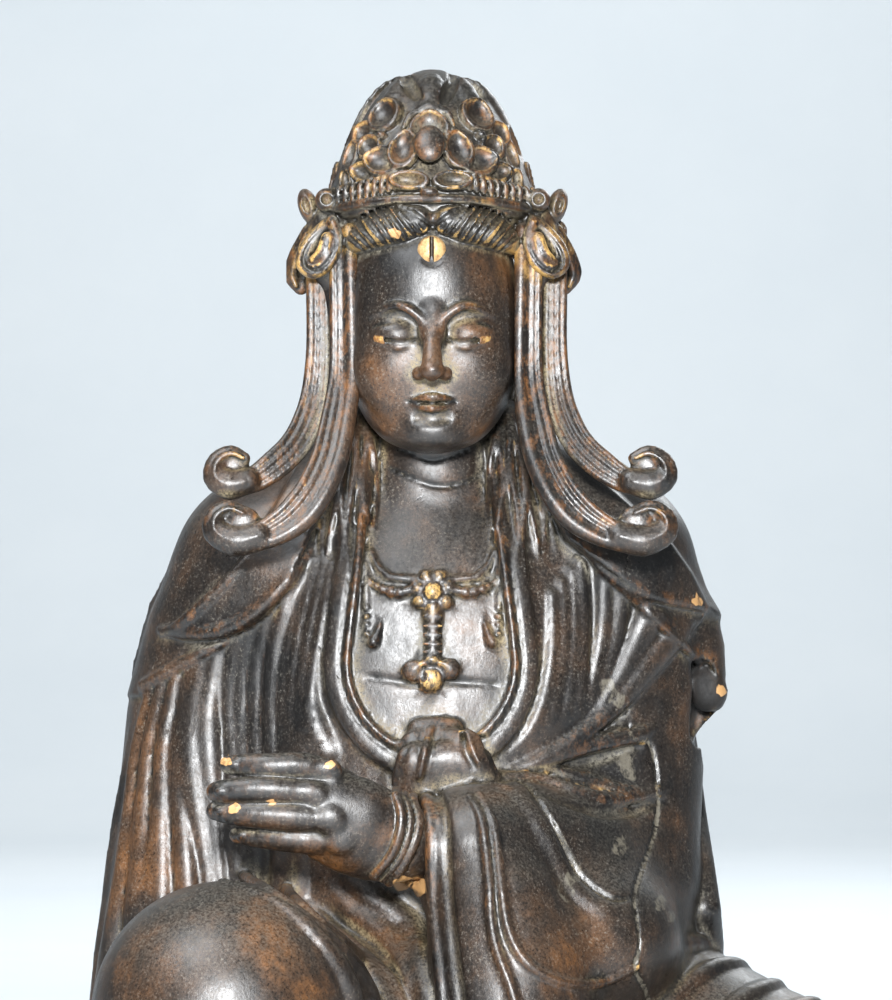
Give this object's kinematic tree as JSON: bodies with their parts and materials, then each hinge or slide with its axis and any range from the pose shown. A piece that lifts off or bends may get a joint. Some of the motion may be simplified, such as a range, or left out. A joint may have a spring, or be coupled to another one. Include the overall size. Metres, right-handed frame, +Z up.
{
  "type": "seated guanyin figure",
  "caption": "Carved, lacquered wooden Guanyin seated at ease, with a lotus crown, long curled locks, a draped robe and cape, one knee raised and a hand before the belly, on a low plinth.",
  "frame": {"origin": "middle of the plinth's underside", "axes": "+Z up, -Y towards the viewer the figure faces, +X to that viewer's right"},
  "size_m": [0.59, 0.43, 0.769],
  "materials": {
    "base_wood": "plain dark stained and waxed wood",
    "dark_lacquer": "old dark brown lacquer, glossy on the swells, rubbed through to orange brown on the edges, dusty in the hollows",
    "worn_lacquer": "old dark brown lacquer, rubbed on the knuckles",
    "gilt": "pale rubbed gilding"
  },
  "bodies": {
    "root": {"plinth": "base_wood", "figure": "dark_lacquer", "left_hand": "worn_lacquer", "urna_disc": "gilt"}
  },
  "joints": []
}
